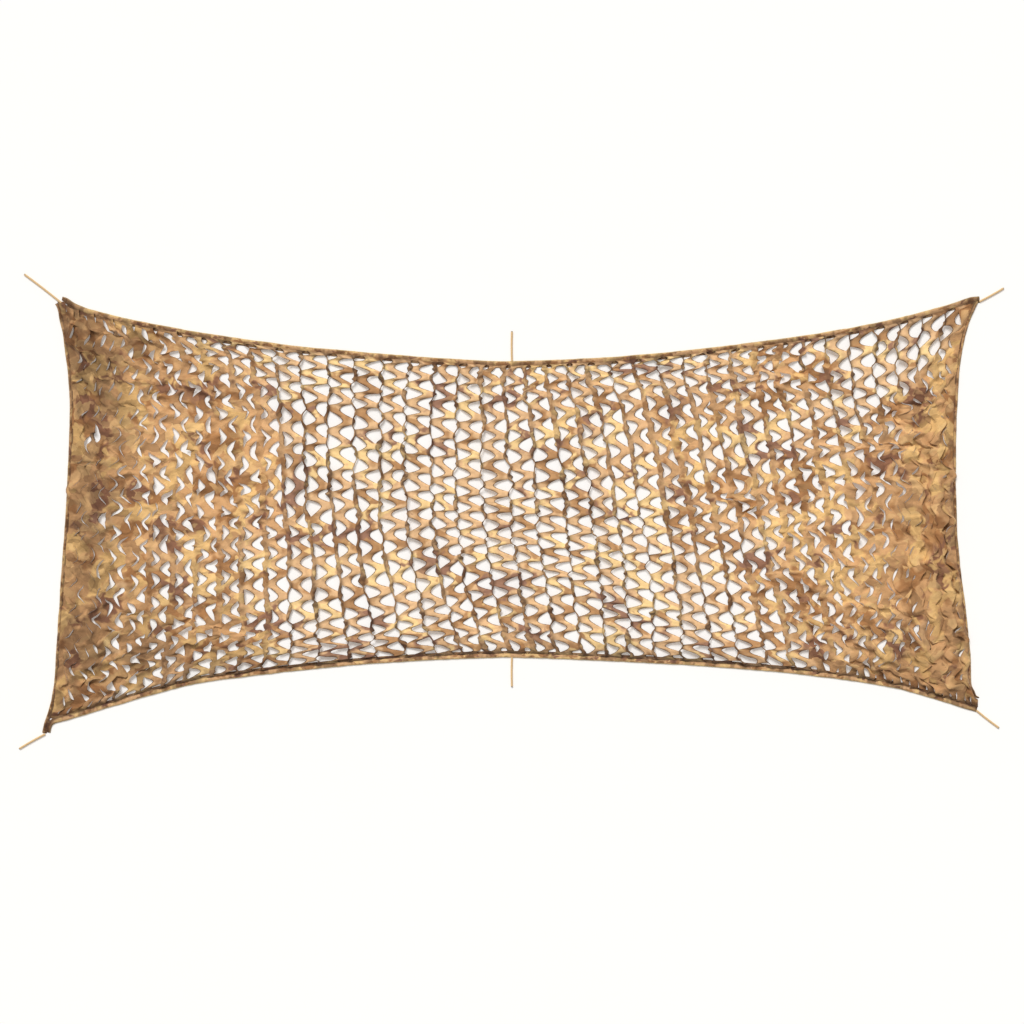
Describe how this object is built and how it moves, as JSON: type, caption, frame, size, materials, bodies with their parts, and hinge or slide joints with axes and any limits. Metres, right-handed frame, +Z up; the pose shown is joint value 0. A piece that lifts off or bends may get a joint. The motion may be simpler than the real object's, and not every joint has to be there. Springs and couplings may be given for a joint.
{
  "type": "camouflage netting",
  "caption": "Lanced camouflage net panel with bound edges drawn into shallow curves and cord ties at the corners and mid-edges, lying flat.",
  "frame": {"origin": "middle of the outline of the panel and its bindings, at the surface the net lies on", "axes": "+X along the long side, +Y along the short side towards the top binding, +Z up from the surface"},
  "size_m": [3.2544, 1.5728, 0.0184],
  "materials": {
    "net_cloth": "matt woven polyester with a desert camouflage print of ochre, tan, brown and purple-brown patches",
    "binding_cloth": "matt folded tape of the same printed cloth, stitched along its inner edge",
    "tie_cord": "matt beige braided cord with darkened cut ends"
  },
  "bodies": {
    "root": {"net_panel": "net_cloth", "binding_top": "binding_cloth", "binding_bottom": "binding_cloth", "binding_left": "binding_cloth", "binding_right": "binding_cloth", "tie_top_left": "tie_cord", "tie_bottom_left": "tie_cord", "tie_top_right": "tie_cord", "tie_bottom_right": "tie_cord", "tie_top_middle": "tie_cord", "tie_bottom_middle": "tie_cord"}
  },
  "joints": []
}
